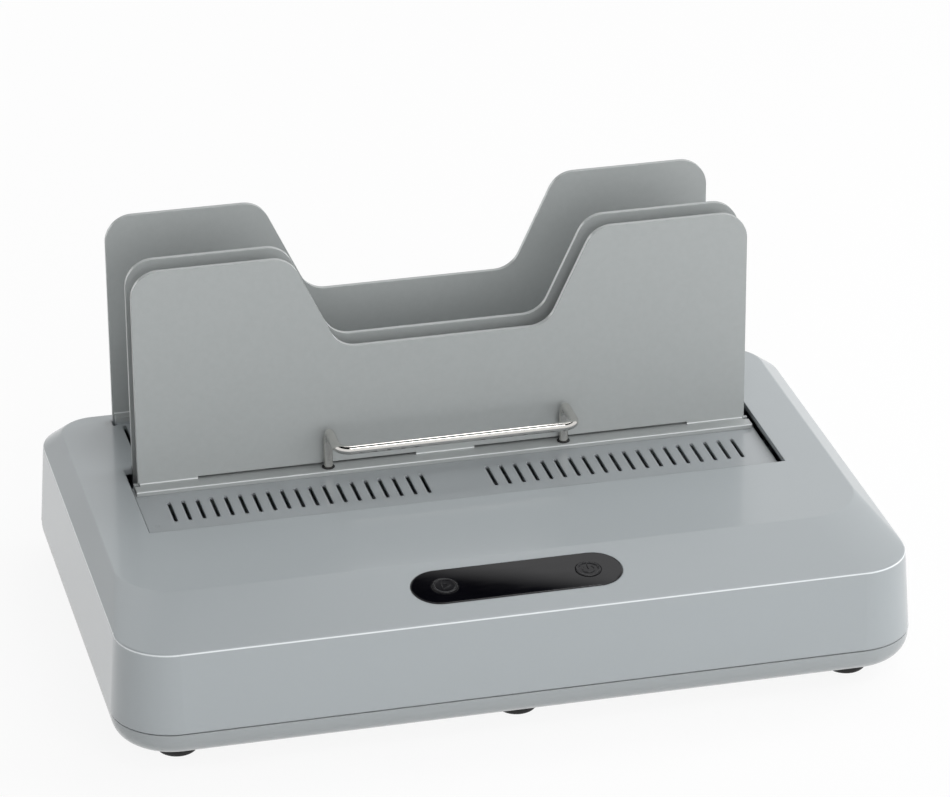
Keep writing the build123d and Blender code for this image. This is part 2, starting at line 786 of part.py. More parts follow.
def chassis_screws():
    """Screws through the chassis into the tray's pillars."""
    tip_z = chassis_under - tray_pillar_grip
    return group(machine_screw(x, y, chassis_z, tip_z) for x, y in pillar_places())


def rail_screw_places():
    """Three screws along the outward foot of each guide rail."""
    x = rail_x + rail_channel / 2 + rail_wall + rail_foot / 2
    ys = (rail_front_y + rail_screw_inset, rail_screw_middle_y, rail_rear_y - rail_screw_inset)
    return [(side * x, y) for side in (-1, 1) for y in ys]


def guide_rail(side):
    """A steel channel with an outward foot."""
    inner = rail_x - rail_channel / 2
    outer = rail_x + rail_channel / 2
    front = rail_front_y
    rear = rail_rear_y
    floor = chassis_z + rail_wall
    top = chassis_z + rail_height
    rail = block(inner - rail_wall, outer + rail_wall, front, rear, chassis_z, top)
    rail -= block(inner, outer, front - overcut, rear + overcut, floor, top + overcut)
    rail += block(outer, outer + rail_wall + rail_foot, front, rear, chassis_z, floor)
    for x, y in rail_screw_places():
        if x > 0:
            rail -= screw_hole(x, y, chassis_z - overcut, floor + overcut)
    return rail if side > 0 else mirrored(rail)


def rail_screws():
    """Screws through the rails' feet and the chassis."""
    tip_z = chassis_under - nut_side_length
    return group(machine_screw(x, y, chassis_z + rail_wall, tip_z) for x, y in rail_screw_places())


def heater_plate():
    """The warm aluminium floor of the binding channel."""
    half = heater_length / 2
    plate = block(-half, half, heater_front_y, heater_rear_y, heater_bottom, heater_top_z)
    return fillet(plate.edges().filter_by(Axis.X).group_by(Axis.Z)[-1], heater_round)


def sensor_holes(z0, z1):
    """The cutting forms around the thermostat and the fuse, from z0 to z1."""
    ends = (z0 - overcut, z1 + overcut)
    return [rod_z(x, heater_middle_y, *ends, sensor_hole) for x in (thermostat_x, fuse_x)]


def heating_film():
    """The heating element bonded under the heater plate."""
    half = heater_length / 2 - film_inset
    front = heater_front_y + film_inset
    film = block(-half, half, front, heater_rear_y - film_inset, film_bottom, heater_bottom)
    for cutter in sensor_holes(film_bottom, heater_bottom):
        film -= cutter
    return film


def heater_insulator():
    """Mineral board between the film and the steel shield."""
    half = heater_length / 2
    slab = block(-half, half, heater_front_y, heater_rear_y, insulator_bottom, film_bottom)
    for cutter in sensor_holes(insulator_bottom, film_bottom):
        slab -= cutter
    return slab


def heat_shield():
    """A folded steel table that holds the heater above the chassis."""
    half = heater_length / 2
    top = insulator_bottom
    shield = block(-half, half, heater_front_y, heater_rear_y, top - shield_sheet, top)
    for y0 in (heater_front_y, heater_rear_y - shield_sheet):
        shield += block(-half, half, y0, y0 + shield_sheet, chassis_z, top)
    for cutter in sensor_holes(top - shield_sheet, top):
        shield -= cutter
    return shield


def thermostat():
    """A round bimetal switch pressed against the heater plate."""
    bottom = heater_bottom - thermostat_height
    body = rod_z(thermostat_x, heater_middle_y, bottom, heater_bottom, thermostat_diameter)
    half_t, half_w = blade_size[0] / 2, blade_size[1] / 2
    for x in (thermostat_x - blade_spacing / 2, thermostat_x + blade_spacing / 2):
        y = heater_middle_y
        body += block(x - half_t, x + half_t, y - half_w, y + half_w, bottom - blade_size[2], bottom)
    return body


def thermal_fuse():
    """A one-shot safety fuse in its clip, held to the heater plate."""
    z = heater_bottom - fuse_diameter / 2
    fuse = Pos(fuse_x, heater_middle_y, z) * Rot(0, 90, 0) * Cylinder(fuse_diameter / 2, fuse_length)
    half_w, half_d = fuse_clip_size[0] / 2, fuse_clip_size[1] / 2
    clip_bottom = heater_bottom - fuse_diameter - fuse_clip_size[2]
    y = heater_middle_y
    return fuse + block(fuse_x - half_w, fuse_x + half_w, y - half_d, y + half_d, clip_bottom, heater_bottom)


# ------------------------------------------------------------------ controls
def control_fascia():
    """The glossy black plate let into the sloping front."""
    plate = extrude(Pos(0, 0, fascia_under) * SlotOverall(fascia_length, fascia_width), fascia_thickness)
    plate = fillet(plate.faces().sort_by(Axis.Z)[-1].edges(), fascia_corner)
    for x in button_xs:
        plate -= Pos(x, 0, 0) * Cylinder(button_diameter / 2 + slide_clearance, 4 * fascia_thickness)
    return slope * plate


def push_button(x):
    """A round cap with a raised rim, a retaining flange and a stem."""
    cap_height = button_proud - button_flange_bottom
    cap = Pos(x, 0, button_flange_bottom + cap_height / 2) * Cylinder(button_diameter / 2, cap_height)
    cap = fillet(cap.edges().filter_by(GeomType.CIRCLE).sort_by(Axis.Z)[-1], button_edge)
    flange_z = (button_flange_bottom + button_flange_top) / 2
    cap += Pos(x, 0, flange_z) * Cylinder(button_diameter / 2 + button_flange, button_flange_height)
    stem_length = button_flange_bottom - stem_bottom
    cap += Pos(x, 0, stem_bottom + stem_length / 2) * Cylinder(button_stem / 2, stem_length)
    cap -= Pos(x, 0, button_proud) * Cylinder(button_diameter / 2 - button_rim, 2 * button_dish)
    return slope * cap


def board_pillar_places():
    """Where the control board is screwed, on the slope plane."""
    x = control_board_length / 2 - pillar_inset
    y = control_board_width / 2 - pillar_inset
    return [(sx * x, sy * y) for sx in (-1, 1) for sy in (-1, 1)]


def control_board():
    """The circuit board under the fascia, parallel to it."""
    slab = extrude(Pos(0, 0, board_bottom) * Rectangle(control_board_length, control_board_width), board)
    slab = slope * slab
    for x, y in board_pillar_places():
        slab -= on_slope(x, y, board_bottom - overcut, board_top + overcut, screw + 2 * seat_clearance)
    return slab


def board_screws():
    """Screws through the control board into the cover's pillars."""
    screws = []
    for x, y in board_pillar_places():
        head = on_slope(x, y, board_bottom - screw_head_height, board_bottom, screw_head)
        screws.append(head + on_slope(x, y, board_bottom, board_top + board_screw_grip, screw))
    return group(screws)


def tact_switches():
    """Two small switches under the buttons."""
    switches = []
    body_height = switch_height - plunger_height
    for x in button_xs:
        body = slope * Pos(x, 0, board_top + body_height / 2) * Box(switch_size, switch_size, body_height)
        switches.append(body + on_slope(x, 0, board_top + body_height / 2, switch_top, plunger_diameter))
    return group(switches)


def status_lamps():
    """Two light-emitting diodes that shine through the buttons' rims."""
    x = button_spacing / 2 - switch_size / 2 - lamp_diameter
    lamps = [on_slope(side * x, 0, board_top, board_top + lamp_height, lamp_diameter) for side in (-1, 1)]
    return group(lamps)


def beeper():
    """The sounder that tells when a cycle ends."""
    bottom = board_bottom - beeper_height
    body = on_slope(0, beeper_offset, bottom, board_bottom, beeper_diameter)
    return body - on_slope(0, beeper_offset, bottom - overcut, bottom + overcut, beeper_hole)


# ------------------------------------------------------------------ mains side
def inlet_block(half_width, half_height, y0, y1):
    """A box around the inlet's middle, from y0 to y1."""
    ends_x = (inlet_x - half_width, inlet_x + half_width)
    return block(*ends_x, y0, y1, inlet_z - half_height, inlet_z + half_height)


def inlet_bar(x, y0, y1, diameter):
    """A round bar along Y at the inlet's height."""
    return Pos(x, (y0 + y1) / 2, inlet_z) * Rot(90, 0, 0) * Cylinder(diameter / 2, y1 - y0)


def mains_inlet():
    """A panel socket for a detachable mains lead."""
    front_y = inlet_face_y
    back_y = front_y - inlet_body_depth
    flange_y = front_y - inlet_flange
    socket = inlet_block(inlet_flange_width / 2, inlet_flange_height / 2, flange_y, front_y)
    socket = fillet(socket.edges().filter_by(Axis.Y), inlet_corner)
    socket += inlet_block(inlet_body_width / 2, inlet_body_height / 2, back_y, front_y - inlet_flange / 2)
    cavity_y = front_y - inlet_socket_depth
    cavity = inlet_block(inlet_socket_width / 2, inlet_socket_height / 2, cavity_y, front_y + overcut)
    socket -= chamfer(cavity.edges().filter_by(Axis.Y).group_by(Axis.Z)[-1], inlet_socket_chamfer)
    head_y = front_y - screw_head_height + inlet_head_proud
    for x in inlet_screw_xs:
        socket -= inlet_bar(x, flange_y - overcut, front_y + overcut, screw + 2 * seat_clearance)
        socket -= inlet_bar(x, head_y, front_y + overcut, screw_head + 2 * seat_clearance)
    for x, z in pin_places():
        socket -= pin_block(x, z, back_y - overcut, seat_clearance)
    return socket


def pin_places():
    """X and Z of the three contact pins, the middle one higher."""
    z = inlet_z - pin_drop
    return [(inlet_x - pin_spacing, z), (inlet_x, z + pin_rise), (inlet_x + pin_spacing, z)]


def pin_block(x, z, y0, extra):
    """One upright blade, from y0 out into the socket."""
    half_t = pin_thickness / 2 + extra
    half_w = pin_width / 2 + extra
    return block(x - half_t, x + half_t, y0, inlet_face_y - pin_setback, z - half_w, z + half_w)


def inlet_pins():
    """Three contact pins with their tails behind the socket."""
    tail_y = inlet_face_y - inlet_body_depth - pin_tail
    return group(pin_block(x, z, tail_y, 0) for x, z in pin_places())


def inlet_screws():
    """Screws through the inlet's flange into the cover."""
    head_y = inlet_face_y - screw_head_height + inlet_head_proud
    tip_y = inlet_face_y - inlet_flange - inlet_screw_grip
    screws = []
    for x in inlet_screw_xs:
        head = inlet_bar(x, head_y, inlet_face_y, screw_head)
        screws.append(head + inlet_bar(x, tip_y, head_y, screw))
    return group(screws)


def standoff_places():
    """Where the power board stands on the tray."""
    x = power_board_width / 2 - standoff_inset
    y = power_board_depth / 2 - standoff_inset
    return [(power_board_x + sx * x, power_board_y + sy * y) for sx in (-1, 1) for sy in (-1, 1)]


def power_board():
    """The mains circuit board on its four standoffs."""
    half_x = power_board_width / 2
    half_y = power_board_depth / 2
    x0, x1 = power_board_x - half_x, power_board_x + half_x
    y0, y1 = power_board_y - half_y, power_board_y + half_y
    slab = block(x0, x1, y0, y1, power_board_z - board, power_board_z)
    for x, y in standoff_places():
        slab -= screw_hole(x, y, power_board_z - board - overcut, power_board_z + overcut)
    return slab


def power_board_screws():
    """Screws through the power board into its standoffs."""
    tip_z = tray_floor + board_screw_end
    return group(machine_screw(x, y, power_board_z, tip_z) for x, y in standoff_places())


def boxed_component(size, place):
    """A rectangular component on the power board, at a place from the board's middle."""
    x, y = power_board_x + place[0], power_board_y + place[1]
    half_x, half_y = size[0] / 2, size[1] / 2
    body = block(x - half_x, x + half_x, y - half_y, y + half_y, power_board_z, power_board_z + size[2])
    return fillet(body.edges().filter_by(Axis.Z), component_round)


def capacitor():
    """The smoothing capacitor, a round can."""
    x, y = power_board_x + capacitor_place[0], power_board_y + capacitor_place[1]
    can = rod_z(x, y, power_board_z, power_board_z + capacitor_height, capacitor_diameter)
    return fillet(can.edges().filter_by(GeomType.CIRCLE).sort_by(Axis.Z)[-1], component_round)


# ------------------------------------------------------------------ nodes
nodes = {
    "top_cover": top_cover(),
    "bottom_tray": bottom_tray(),
    "rubber_feet": rubber_feet(),
    "housing_screws": housing_screws(),
    "inner_plate": inner_plate(),
    "inner_plate_screws": inner_plate_screws(),
    "rear_plate": rear_plate(),
    "rear_plate_screws": rear_plate_screws(),
    "front_plate": front_plate(),
    "vent_panel": vent_panel(),
    "carriage_screws": carriage_screws(),
    "wire_handle": wire_handle(),
    "handle_bushes": handle_bushes(),
    "handle_nuts": handle_nuts(),
    "slide_shoes": slide_shoes(),
    "shoe_screws": shoe_screws(),
    "chassis": chassis(),
    "chassis_screws": chassis_screws(),
    "guide_rail_left": guide_rail(-1),
    "guide_rail_right": guide_rail(1),
    "rail_screws": rail_screws(),
    "heater_plate": heater_plate(),
    "heating_film": heating_film(),
    "heater_insulator": heater_insulator(),
    "heat_shield": heat_shield(),
    "thermostat": thermostat(),
    "thermal_fuse": thermal_fuse(),
    "control_fascia": control_fascia(),
    "start_button": push_button(button_xs[0]),
    "power_button": push_button(button_xs[1]),
    "control_board": control_board(),
    "board_screws": board_screws(),
    "tact_switches": tact_switches(),
    "status_lamps": status_lamps(),
    "beeper": beeper(),
    "mains_inlet": mains_inlet(),
    "inlet_pins": inlet_pins(),
    "inlet_screws": inlet_screws(),
    "power_board": power_board(),
    "power_board_screws": power_board_screws(),
    "transformer": boxed_component(transformer_size, transformer_place),
    "relay": boxed_component(relay_size, relay_place),
    "capacitor": capacitor(),
}

os.makedirs("parts", exist_ok=True)
for name, shape in nodes.items():
    export_step(shape, f"parts/{name}.step")
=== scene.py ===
"""Thermal binding machine: finishes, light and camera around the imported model.

Metres, +Z up, +Y to the rear, origin on the table at the middle of the footprint.
"""

import json
import math

import bpy
from mathutils import Matrix, Vector


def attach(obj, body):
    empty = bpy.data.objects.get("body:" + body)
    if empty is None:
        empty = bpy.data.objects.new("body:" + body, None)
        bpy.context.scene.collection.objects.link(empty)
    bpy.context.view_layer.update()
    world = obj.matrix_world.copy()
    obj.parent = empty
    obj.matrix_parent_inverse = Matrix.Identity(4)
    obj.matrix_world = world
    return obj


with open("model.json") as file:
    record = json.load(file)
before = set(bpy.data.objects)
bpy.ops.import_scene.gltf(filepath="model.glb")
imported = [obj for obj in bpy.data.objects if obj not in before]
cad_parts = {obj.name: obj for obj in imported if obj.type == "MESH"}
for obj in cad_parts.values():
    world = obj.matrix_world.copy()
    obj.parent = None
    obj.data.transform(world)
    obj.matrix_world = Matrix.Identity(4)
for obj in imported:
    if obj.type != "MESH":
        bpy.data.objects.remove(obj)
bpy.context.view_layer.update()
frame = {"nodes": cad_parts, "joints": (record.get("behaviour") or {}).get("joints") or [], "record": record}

# ------------------------------------------------------------------ camera
image_width = 950.0  # pixels of the photograph's frame
camera_place = Vector((-0.4818, -2.02185, 1.0864))
camera_yaw = math.radians(13.56)  # towards +X
camera_pitch = math.radians(25.04)  # downwards
camera_roll = math.radians(-0.41)
focal_pixels = 4700.64
sensor_width = 36.0  # mm
view_reach = 20.0  # how far the camera sees

# ------------------------------------------------------------------ finishes: colours as sRGB 0-255
housing_colour = (156, 162, 165)
tray_colour = (150, 155, 157)
panel_colour = (155, 160, 163)
# paler colours painted along turned edges as a painted highlight
moulding_highlight_colour = (236, 240, 242)
plate_colour = (162, 166, 166)
plate_highlight_colour = (232, 236, 237)

fine_grain = 0.0016  # of the moulded skin and of the powder coat's orange peel
crisp_edge = 0.0002  # radius at which light catches the edge of a small piece
edge_samples = 6
# height of a face's normal, 0 upright and 1 level, over which the painted edge highlight comes and goes
highlight_comes = (0.15, 0.35)
highlight_goes = (0.62, 0.76)


# ------------------------------------------------------------------ material tools
def linear(rgb):
    """A linear colour with alpha, from sRGB values of 0-255."""
    out = []
    for value in rgb:
        c = value / 255
        out.append(c / 12.92 if c <= 0.04045 else ((c + 0.055) / 1.055) ** 2.4)
    return (*out, 1.0)


class Finish:
    """A Principled material with the nodes that give its surface detail."""

    def __init__(self, name, **sockets):
        self.material = bpy.data.materials.new(name)
        self.material.use_nodes = True
        self.tree = self.material.node_tree
        self.shader = self.tree.nodes["Principled BSDF"]
        for socket, value in sockets.items():
            self.shader.inputs[socket.replace("_", " ")].default_value = value
        self.place = self.node("ShaderNodeTexCoord").outputs["Object"]
        self.normal = None

    def node(self, kind, **inputs):
        """A new node; an input's name has underscores for its spaces."""
        made = self.tree.nodes.new(kind)
        for socket, value in inputs.items():
            self.feed(made.inputs[socket.replace("_", " ")], value)
        return made

    def feed(self, socket, value):
        if isinstance(value, bpy.types.NodeSocket):
            self.tree.links.new(value, socket)
        else:
            socket.default_value = value

    def noise(self, size, detail=3.0, roughness=0.55, stretch=(1, 1, 1)):
        """Noise whose features are about size metres across, drawn out by stretch."""
        mapping = self.node("ShaderNodeMapping", Vector=self.place)
        mapping.inputs["Scale"].default_value = [1 / (size * s) for s in stretch]
        noise = self.node("ShaderNodeTexNoise", Vector=mapping.outputs["Vector"])
        noise.inputs["Scale"].default_value = 1.0
        noise.inputs["Detail"].default_value = detail
        noise.inputs["Roughness"].default_value = roughness
        return noise.outputs["Fac"]

    def cells(self, size):
        """Crystals about size metres across, each with a colour of its own."""
        mapping = self.node("ShaderNodeMapping", Vector=self.place)
        mapping.inputs["Scale"].default_value = [1 / size] * 3
        voronoi = self.node("ShaderNodeTexVoronoi", Vector=mapping.outputs["Vector"])
        voronoi.inputs["Scale"].default_value = 1.0
        return voronoi.outputs["Color"]

    def ramp(self, fac, *stops):
        """Colours over a value: each stop is a position and a linear colour."""
        ramp = self.node("ShaderNodeValToRGB", Fac=fac)
        elements = ramp.color_ramp.elements
        while len(elements) < len(stops):
            elements.new(0.5)
        for element, (position, colour) in zip(elements, stops):
            element.position = position
            element.color = colour
        return ramp.outputs["Color"]

    def spread(self, fac, low, high, start=0.3, end=0.7):
        """A value remapped from start..end to low..high."""
        limits = {"From_Min": start, "From_Max": end, "To_Min": low, "To_Max": high}
        return self.node("ShaderNodeMapRange", Value=fac, **limits).outputs["Result"]

    def blend_colours(self, fac, first, second):
        """The first colour where fac is 0, the second where it is 1."""
        mix = self.tree.nodes.new("ShaderNodeMix")
        mix.data_type = "RGBA"
        self.feed(mix.inputs[0], fac)
        self.feed(mix.inputs[6], first)
        self.feed(mix.inputs[7], second)
        return mix.outputs[2]

    def set(self, socket, value):
        self.feed(self.shader.inputs[socket], value)
        return self

    def soften(self, radius):
        """Light catches the edges as if they were rounded by radius."""
        self.normal = self.node("ShaderNodeBevel", Radius=radius).outputs["Normal"]
        self.normal.node.samples = edge_samples
        self.set("Normal", self.normal)
        return self

    def bump(self, height, depth, strength=1.0):
        """Relief of that depth in metres from a height of 0-1."""
        made = self.node("ShaderNodeBump", Strength=strength, Distance=depth, Height=height)
        if self.normal is not None:
            self.feed(made.inputs["Normal"], self.normal)
        self.normal = made.outputs["Normal"]
        self.set("Normal", self.normal)
        return self

    def paint_edge_highlight(self, rgb, share):
        """A paler base colour where the surface turns over between upright and level: a painted highlight.

        It stands in for the bright line that light draws along those edges.
        """
        facing = self.tree.nodes["Texture Coordinate"].outputs["Normal"]
        level = self.node("ShaderNodeSeparateXYZ", Vector=facing).outputs["Z"]
        rising = self.spread(level, 0.0, 1.0, *highlight_comes)
        falling = self.spread(level, share, 0.0, *highlight_goes)
        highlight_share = self.node("ShaderNodeMath")
        highlight_share.operation = "MULTIPLY"
        self.feed(highlight_share.inputs[0], rising)
        self.feed(highlight_share.inputs[1], falling)
        # painted highlight: the paler colour is mixed into the base colour on turned edges
        self.colour = self.blend_colours(highlight_share.outputs[0], self.colour, linear(rgb))
        self.set("Base Color", self.colour)
        return self

    def mottle(self, rgb, size, change):
        """Base colour that drifts by a share of itself over patches of that size."""
        colour = linear(rgb)
        dark = (*[c * (1 - change) for c in colour[:3]], 1.0)
        light = (*[min(1.0, c * (1 + change)) for c in colour[:3]], 1.0)
        self.colour = self.ramp(self.noise(size), (0.3, dark), (0.7, light))
        self.set("Base Color", self.colour)
        return self


# ------------------------------------------------------------------ materials
def silver_moulding(name, rgb):
    """Silver moulded plastic under a clear gloss, with a faint grain and a painted highlight on its turned
    edges.
    """
    f = Finish(name, IOR=1.5, Coat_Weight=0.45, Coat_Roughness=0.09)
    f.mottle(rgb, fine_grain, 0.004)
    # painted highlight: a paler base colour along the turned edges
    f.paint_edge_highlight(moulding_highlight_colour, 0.8)
    f.set("Roughness", f.spread(f.noise(0.002, 2.0), 0.275, 0.285))
    f.soften(0.001)
    return f.bump(f.noise(fine_grain, 1.0), 0.0000005, 0.2).material


def powder_coat(name, rgb, rough=0.42):
    """Satin silver powder coat on sheet steel, with its slight orange peel and a painted highlight on its
    turned edges.
    """
    f = Finish(name, IOR=1.5, Coat_Weight=0.1, Coat_Roughness=0.3)
    f.mottle(rgb, 0.003, 0.02)
    # painted highlight: a paler base colour along the turned edges
    f.paint_edge_highlight(plate_highlight_colour, 0.7)
    f.set("Roughness", f.spread(f.noise(0.004), rough - 0.05, rough + 0.05))
    f.soften(0.0005)
    return f.bump(f.noise(fine_grain, 2.0), 0.00003, 0.45).material


def black_acrylic(name, rgb, rough=0.015):
    """Polished black plastic with faint wipe marks in its gloss."""
    f = Finish(name, IOR=1.45)
    f.mottle(rgb, 0.02, 0.15)
    wiped = f.noise(0.004, 6.0, 0.65, (4, 1, 1))
    f.set("Roughness", f.spread(wiped, rough, rough + 0.015, 0.4, 0.8))
    f.soften(0.0005)
    return f.bump(f.noise(0.018, 1.0), 0.000004, 0.2).material


def polished_chrome(name):
    """Bright plated steel rod with a little haze and fine draw lines."""
    f = Finish(name, Metallic=1.0)
    f.mottle((214, 212, 208), 0.01, 0.03)
    lines = f.noise(0.00025, 3.0, 0.6, (30, 1, 1))
    f.set("Roughness", f.spread(lines, 0.07, 0.16))
    return f.bump(lines, 0.000004, 0.4).material


def plain_plastic(name, rgb, rough, grain=0.0006, depth=0.00003, **sockets):
    """Moulded plastic or rubber with a spark-eroded grain."""
    f = Finish(name, IOR=1.5, **sockets)
    f.mottle(rgb, 0.008, 0.08)
    f.set("Roughness", f.spread(f.noise(0.003, 4.0), rough - 0.06, rough + 0.06))
    f.soften(crisp_edge)
    return f.bump(f.noise(grain, 3.0), depth, 0.6).material


def plain_metal(name, rgb, rough, stretch=(1, 1, 1), grain=0.0008, **sockets):
    """Bare or plated metal, drawn or rolled along the stretched axis."""
    f = Finish(name, Metallic=1.0, **sockets)
    f.mottle(rgb, 0.015, 0.06)
    lines = f.noise(grain, 4.0, 0.6, stretch)
    f.set("Roughness", f.spread(lines, rough - 0.07, rough + 0.09))
    f.soften(crisp_edge)
    return f.bump(lines, 0.00001, 0.5).material


def galvanised(name):
    """Zinc-coated sheet with its spangle."""
    f = Finish(name, Metallic=1.0)
    tone = f.node("ShaderNodeSeparateColor", Color=f.cells(0.006)).outputs["Red"]
    dark, light = linear((150, 154, 158)), linear((196, 200, 203))
    f.set("Base Color", f.ramp(tone, (0.0, dark), (1.0, light)))
    f.set("Roughness", f.spread(tone, 0.28, 0.48, 0.0, 1.0))
    f.soften(crisp_edge)
    return f.bump(f.noise(0.0015), 0.00002, 0.4).material


def laminate(name):
    """Green circuit board with darker tracks under the lacquer."""
    f = Finish(name, IOR=1.5, Roughness=0.28, Coat_Weight=0.4, Coat_Roughness=0.12)
    brick = f.node("ShaderNodeTexBrick", Vector=f.place)
    brick.inputs["Scale"].default_value = 260.0
    brick.inputs["Mortar Size"].default_value = 0.09
    tracks = f.spread(brick.outputs["Fac"], 0.0, 1.0, 0.2, 0.8)
    f.set("Base Color", f.blend_colours(tracks, linear((24, 92, 52)), linear((16, 66, 38))))
    return f.bump(tracks, 0.00003, 0.5).material


def amber_film(name):
    """Amber film with the meander of its heating track."""
    f = Finish(name, IOR=1.6, Roughness=0.3)
    wave = f.node("ShaderNodeTexWave", Vector=f.place)
    wave.inputs["Scale"].default_value = 120.0
    track = f.spread(wave.outputs["Fac"], 0.0, 1.0, 0.45, 0.55)
    f.set("Base Color", f.blend_colours(track, linear((176, 104, 32)), linear((112, 66, 30))))
    return f.bump(track, 0.00003, 0.5).material


materials = {
    "housing": silver_moulding("silver_housing", housing_colour),
    "tray": silver_moulding("silver_tray", tray_colour),
    "rubber": plain_plastic("foot_rubber", (24, 24, 25), 0.72, 0.0009, 0.00006),
    "plate_paint": powder_coat("plate_powder_coat", plate_colour),
    "panel_paint": silver_moulding("panel_coat", panel_colour),
    "chrome": polished_chrome("handle_chrome"),
    "black_gloss": black_acrylic("fascia_acrylic", (7, 7, 11)),
    "button_gloss": black_acrylic("button_acrylic", (12, 12, 16), 0.04),
    "black_plastic": plain_plastic("black_moulding", (22, 22, 24), 0.45),
    "white_plastic": plain_plastic("natural_acetal", (222, 220, 210), 0.4),
    "steel": plain_metal("plated_screws", (196, 198, 196), 0.3),
    "sheet_steel": galvanised("galvanised_sheet"),
    "aluminium": plain_metal("heater_aluminium", (206, 208, 210), 0.34, (40, 1, 1)),
    "film": amber_film("heating_film_amber"),
    "mineral": plain_plastic("mineral_board", (196, 188, 172), 0.85, 0.0012, 0.0001),
    "board": laminate("circuit_laminate"),
    "lamp": plain_plastic("lamp_lens", (196, 214, 200), 0.12, Transmission_Weight=0.4),
    "brass": plain_metal("brass_blades", (206, 176, 112), 0.25),
    "coil": plain_plastic("winding_tape", (196, 168, 66), 0.5, 0.002, 0.00008),
    "relay_case": plain_plastic("relay_case", (44, 84, 150), 0.3),
    "can": plain_plastic("can_sleeve", (26, 28, 60), 0.35),
}
for part in frame["record"]["subparts"]:
    mesh = frame["nodes"][part["node"]].data
    mesh.materials.clear()
    mesh.materials.append(materials[part["material_slot"]])


# ------------------------------------------------------------------ control symbols
symbol_radius = 0.0029
symbol_line = 0.00032  # radius of the raised bead
symbol_gap = math.radians(38)  # half of the opening in the power symbol's ring
symbol_bar = (0.15, 1.25)  # from and to, as shares of the radius
arc_steps = 40
button_dish = 0.00035  # depth of the dish in a button's top

press_axis = Vector(next(j for j in frame["joints"] if j["name"] == "power_press")["axis"])
slope_normal = -press_axis
slope_up = Vector((1, 0, 0)).cross(slope_normal) * -1


def button_face(node):
    """A placement in the dish of a button's top: X across, Y up the slope, Z out."""
    corners = [v.co for v in frame["nodes"][node].data.vertices]
    height = max(c.dot(slope_normal) for c in corners)
    rim = [c for c in corners if c.dot(slope_normal) > height - button_dish]
    middle = sum(rim, Vector()) / len(rim)
    middle += slope_normal * (height - button_dish - middle.dot(slope_normal))
    axes = Matrix((Vector((1, 0, 0)), slope_up, slope_normal)).transposed()
    return Matrix.Translation(middle) @ axes.to_4x4()


def bead(name, node, body, strokes):
    """A raised symbol: one curve whose strokes are lists of points in the button's plane."""
    curve = bpy.data.curves.new(name, "CURVE")
    curve.dimensions = "3D"
    curve.bevel_depth = symbol_line
    curve.bevel_resolution = 4
    curve.use_fill_caps = True
    for points, closed in strokes:
        spline = curve.splines.new("POLY")
        spline.points.add(len(points) - 1)
        for point, (x, y) in zip(spline.points, points):
            point.co = (x, y, 0, 1)
        spline.use_cyclic_u = closed
    curve.materials.append(materials["button_gloss"])
    piece = bpy.data.objects.new(name, curve)
    bpy.context.scene.collection.objects.link(piece)
    piece.matrix_world = button_face(node)
    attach(piece, body)


full_turn = 2 * math.pi
arc_step = (full_turn - 2 * symbol_gap) / arc_steps
arc_turns = [symbol_gap + i * arc_step for i in range(arc_steps + 1)]
arc = [(symbol_radius * math.sin(a), symbol_radius * math.cos(a)) for a in arc_turns]
bar = [(0, symbol_radius * share) for share in symbol_bar]
bead("power_symbol", "power_button", "power_button", [(arc, False), (bar, False)])
corner_turns = [i * full_turn / 3 for i in range(3)]
triangle = [(symbol_radius * math.cos(a), symbol_radius * math.sin(a)) for a in corner_turns]
bead("start_symbol", "start_button", "start_button", [(triangle, True)])


# ------------------------------------------------------------------ floor, world and lamps
table_half = 4.0
table_drop = 0.0002  # under the feet, whose faces it would otherwise share
table_shade = 0.82
table_roughness = 0.8
table_specular = 0.1
table_glow = 0.9  # share of plain white in what shows as backdrop; the rest keeps the shadow

room_light = 0.08  # all around, where no screen stands
screen_fade = 6.0  # degrees over which a screen's edges fade
# elevation in degrees where the white backdrop ends, set by what the fascia mirrors in the photograph
backdrop_top = 42.8
backdrop_fade = 0.1
# each screen: heading from +Y towards +X, half width, lowest and highest elevation, strength
screens = (
    (166, 44, -10, 48, 1.04),
    (42, 26, 8, 58, 0.9),
)

lamp_target = (0, 0, 0.08)
# each lamp: name, place, width, depth, watts, whether glossy faces mirror it (the low lamps would
# turn the top white when it is seen from the side)
lamps = (
    ("left_light", (-1.5, 0.45, 0.42), 1.4, 0.8, 4.8, False),
    ("rear_light", (-0.4, 1.5, 0.5), 1.4, 0.8, 5.0, False),
    ("edge_light", (0.2, -0.9, 1.45), 0.7, 0.35, 4.0, True),
    ("front_light", (0.2, -1.55, 0.5), 1.6, 0.9, 8.0, False),
    ("right_light", (1.3, 0.0, 0.92), 1.2, 0.7, 13.0, False),
    ("high_right_light", (0.53, 0.53, 1.49), 0.9, 0.6, 4.0, True),
    ("high_rear_light", (0.0, 0.75, 1.49), 0.9, 0.6, 2.4, True),
)
white = (1, 1, 1, 1)


def backdrop_share(tree):
    """1 for the rays that show the backdrop: from the camera, mirrored or through glass."""
    path = tree.nodes.new("ShaderNodeLightPath")
    share = path.outputs["Is Camera Ray"]
    for ray in ("Is Glossy Ray", "Is Transmission Ray"):
        either = tree.nodes.new("ShaderNodeMath")
        either.operation = "MAXIMUM"
        tree.links.new(share, either.inputs[0])
        tree.links.new(path.outputs[ray], either.inputs[1])
        share = either.outputs[0]
    return share


